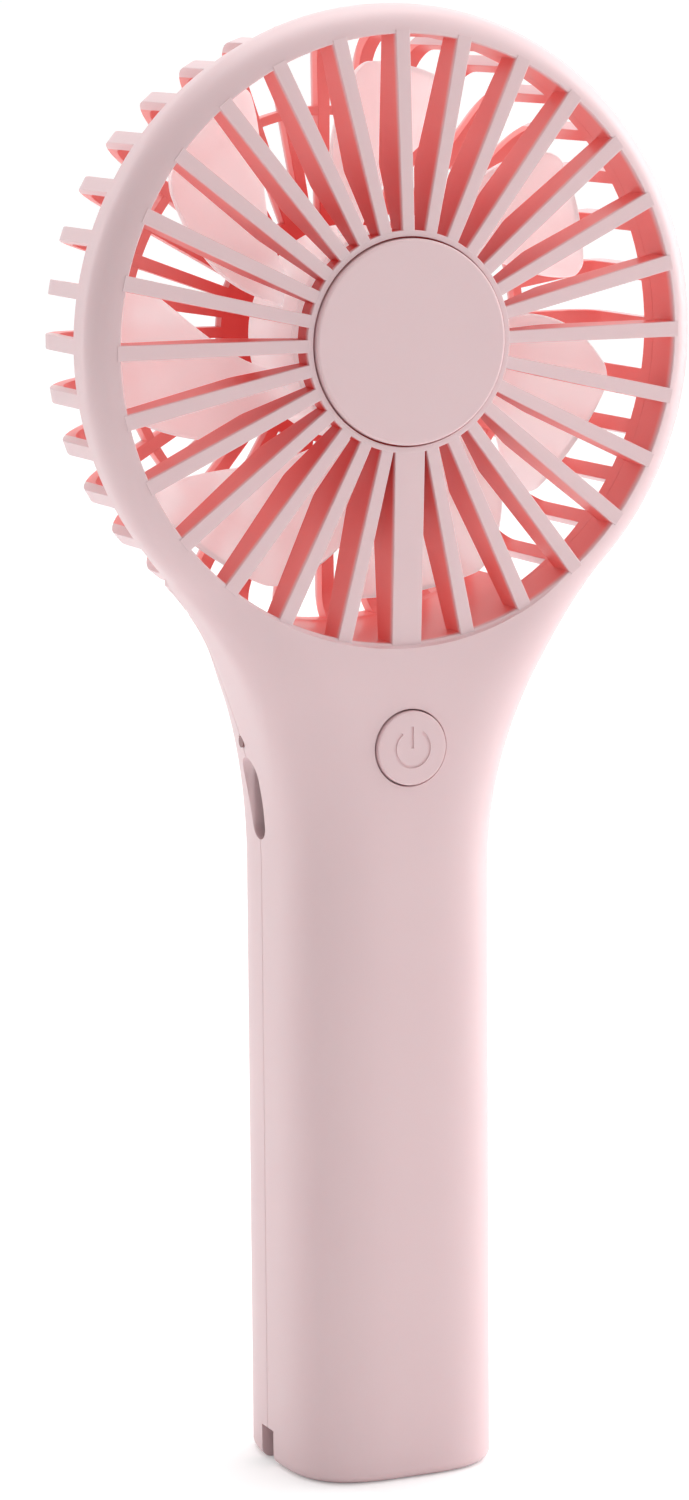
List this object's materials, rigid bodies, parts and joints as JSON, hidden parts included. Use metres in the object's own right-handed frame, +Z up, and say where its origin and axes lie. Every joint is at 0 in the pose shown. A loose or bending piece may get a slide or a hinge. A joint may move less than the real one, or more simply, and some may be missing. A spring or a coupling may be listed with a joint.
{
  "type": "handheld electric fan",
  "caption": "Handheld electric fan with a round ribbed head, a finned rear guard, a flared round-cornered handle and a push button.",
  "frame": {"origin": "centre of the flat base that the handle stands on", "axes": "+Z up the handle to the head, -Y the way the air leaves at the front grille, +X to the right seen from the front"},
  "size_m": [0.0988, 0.0347, 0.2235],
  "materials": {
    "shell_plastic": "satin pink ABS",
    "cap_plastic": "fine matte pink ABS",
    "impeller_plastic": "frosted translucent pink",
    "button_plastic": "satin pink ABS",
    "light_plastic": "clear light guide",
    "steel": "plated steel",
    "brass": "bright brass",
    "copper": "enamelled copper wire",
    "black_plastic": "black moulded plastic",
    "carbon": "pressed carbon and ferrite",
    "board": "solder-masked glass fibre board",
    "cell_wrap": "shrink-wrapped cell",
    "foam": "closed-cell foam",
    "led": "light-emitting diodes",
    "lead_red": "red wire sleeve",
    "lead_black": "black wire sleeve"
  },
  "bodies": {
    "casing": {"front_shell": "shell_plastic", "rear_shell": "shell_plastic", "centre_cap": "cap_plastic", "casing_screws": "steel", "strap_pin": "steel", "light_guide": "light_plastic", "motor_can": "steel", "motor_end_cap": "black_plastic", "motor_rear_bush": "brass", "motor_front_bush": "brass", "motor_magnets": "carbon", "motor_terminals": "brass", "motor_brushes": "carbon", "motor_screws": "steel", "circuit_board": "board", "switch_body": "black_plastic", "charging_socket": "steel", "socket_tongue": "black_plastic", "status_leds": "led", "board_components": "black_plastic", "battery_cell": "cell_wrap", "battery_tabs": "steel", "battery_pads": "foam", "motor_lead_red": "lead_red", "motor_lead_black": "lead_black", "battery_lead_red": "lead_red", "battery_lead_black": "lead_black"},
    "rotor": {"impeller": "impeller_plastic", "motor_shaft": "steel", "commutator": "brass", "rotor_core": "steel", "rotor_windings": "copper", "impeller_bush": "brass"},
    "button": {"power_button": "button_plastic", "switch_plunger": "black_plastic"}
  },
  "joints": [
    {"name": "fan_spin", "type": "hinge", "parent": "casing", "child": "rotor", "pos_m": [0, 0, 0.1741], "axis": [0, 1, 0], "continuous": true},
    {"name": "power_press", "type": "slide", "parent": "casing", "child": "button", "axis": [0, 1, 0], "range_m": [0, 0.0004], "stiffness_N_per_m": 400}
  ]
}
